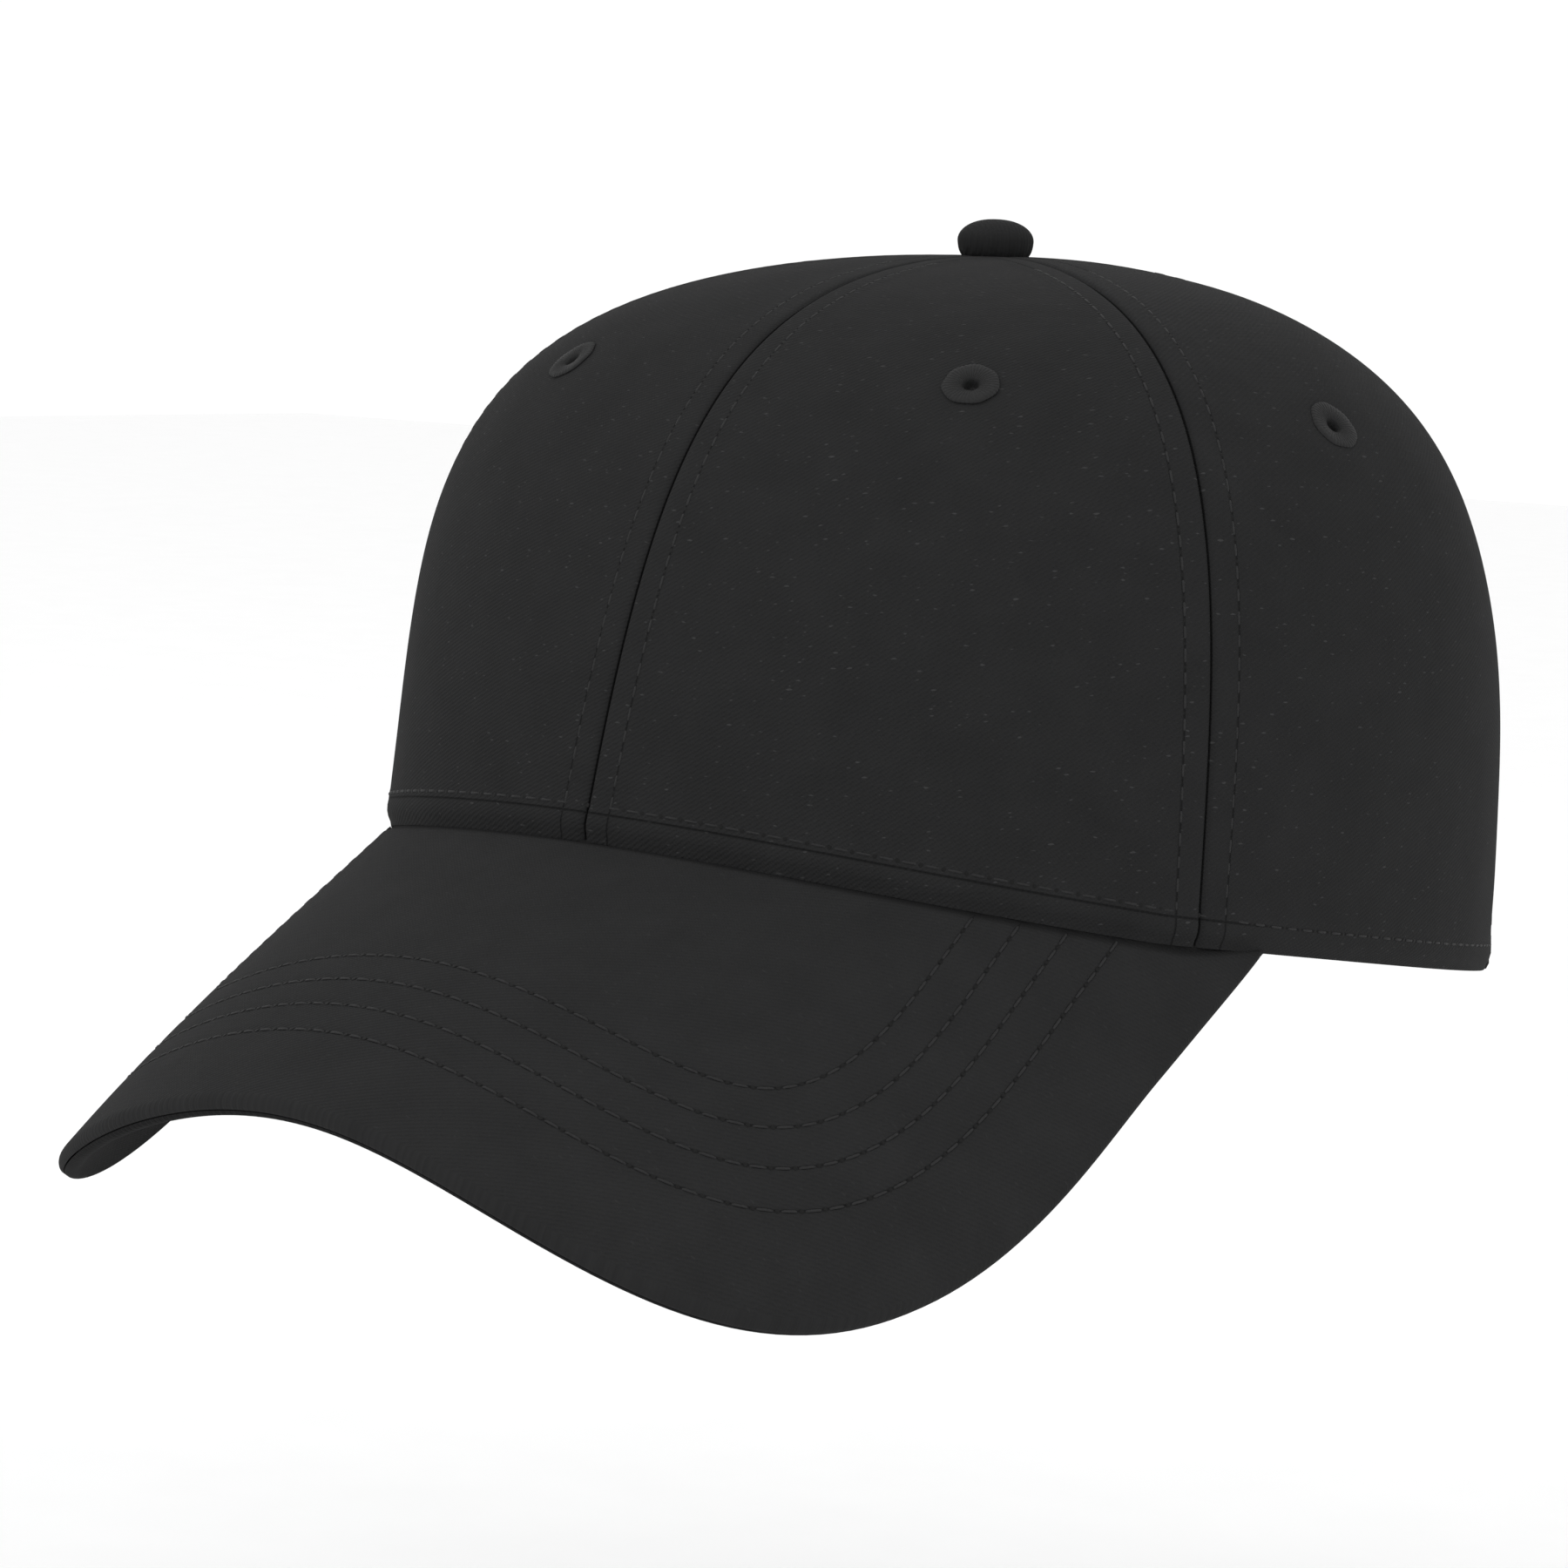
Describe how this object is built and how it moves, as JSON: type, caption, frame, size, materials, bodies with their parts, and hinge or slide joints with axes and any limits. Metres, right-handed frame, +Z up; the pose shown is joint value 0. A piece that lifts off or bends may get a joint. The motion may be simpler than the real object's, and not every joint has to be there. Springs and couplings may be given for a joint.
{
  "type": "baseball cap",
  "caption": "Structured panelled cap with a high crown, a curved stiff brim, a covered top button, sewn eyelets and a plastic snap closure across a half-moon back opening.",
  "frame": {"origin": "centre of the head opening, on the plane of the rim", "axes": "+Z up through the crown, -Y towards the brim at the wearer's front, +X towards the wearer's left; the rim drops towards the back, as the cap is worn"},
  "size_m": [0.1862, 0.2623, 0.1575],
  "materials": {
    "crown_cloth": "charcoal black fine-woven twill",
    "brim_cloth": "charcoal black fine-woven twill",
    "eyelet_thread": "black satin-stitched thread",
    "buckram": "stiff open-weave gauze",
    "seam_tape": "black woven tape",
    "label": "blank satin-woven label",
    "band_foam": "thin grey foam",
    "sweatband": "brushed black twill",
    "brim_board": "matt polyethylene sheet",
    "button_metal": "plain pressed steel",
    "snap_plastic": "satin black moulded plastic"
  },
  "bodies": {
    "crown": {"front_panel_left": "crown_cloth", "front_panel_right": "crown_cloth", "side_panel_left": "crown_cloth", "side_panel_right": "crown_cloth", "back_panel_left": "crown_cloth", "back_panel_right": "crown_cloth", "front_eyelet_left": "eyelet_thread", "front_eyelet_right": "eyelet_thread", "side_eyelet_left": "eyelet_thread", "side_eyelet_right": "eyelet_thread", "back_eyelet_left": "eyelet_thread", "back_eyelet_right": "eyelet_thread", "front_buckram_left": "buckram", "front_buckram_right": "buckram", "front_centre_seam_tape": "seam_tape", "back_centre_seam_tape": "seam_tape", "front_seam_tape_left": "seam_tape", "front_seam_tape_right": "seam_tape", "back_seam_tape_left": "seam_tape", "back_seam_tape_right": "seam_tape", "arch_binding": "seam_tape", "woven_label": "label", "sweatband_foam": "band_foam", "sweatband_facing": "sweatband", "brim_top_cover": "brim_cloth", "brim_board": "brim_board", "brim_under_cover": "brim_cloth", "button_cover": "crown_cloth", "button_shell": "button_metal", "button_post": "button_metal", "button_washer": "button_metal", "strap_tab_left": "snap_plastic", "strap_tab_right": "snap_plastic"},
    "left_snap_strap": {"snap_strap_holes": "snap_plastic"},
    "right_snap_strap": {"snap_strap_pegs": "snap_plastic"}
  },
  "joints": [
    {"name": "left_strap_flex", "type": "hinge", "parent": "crown", "child": "left_snap_strap", "pos_m": [0.0386, 0.0837, -0.0005], "axis": [0.0916, 0.208, -0.9738], "range_deg": [0, 75], "stiffness_Nm_per_rad": 0.01},
    {"name": "right_strap_flex", "type": "hinge", "parent": "crown", "child": "right_snap_strap", "pos_m": [-0.038, 0.0824, -0.0009], "axis": [-0.0861, 0.2106, -0.9738], "range_deg": [0, 40], "stiffness_Nm_per_rad": 0.01}
  ]
}
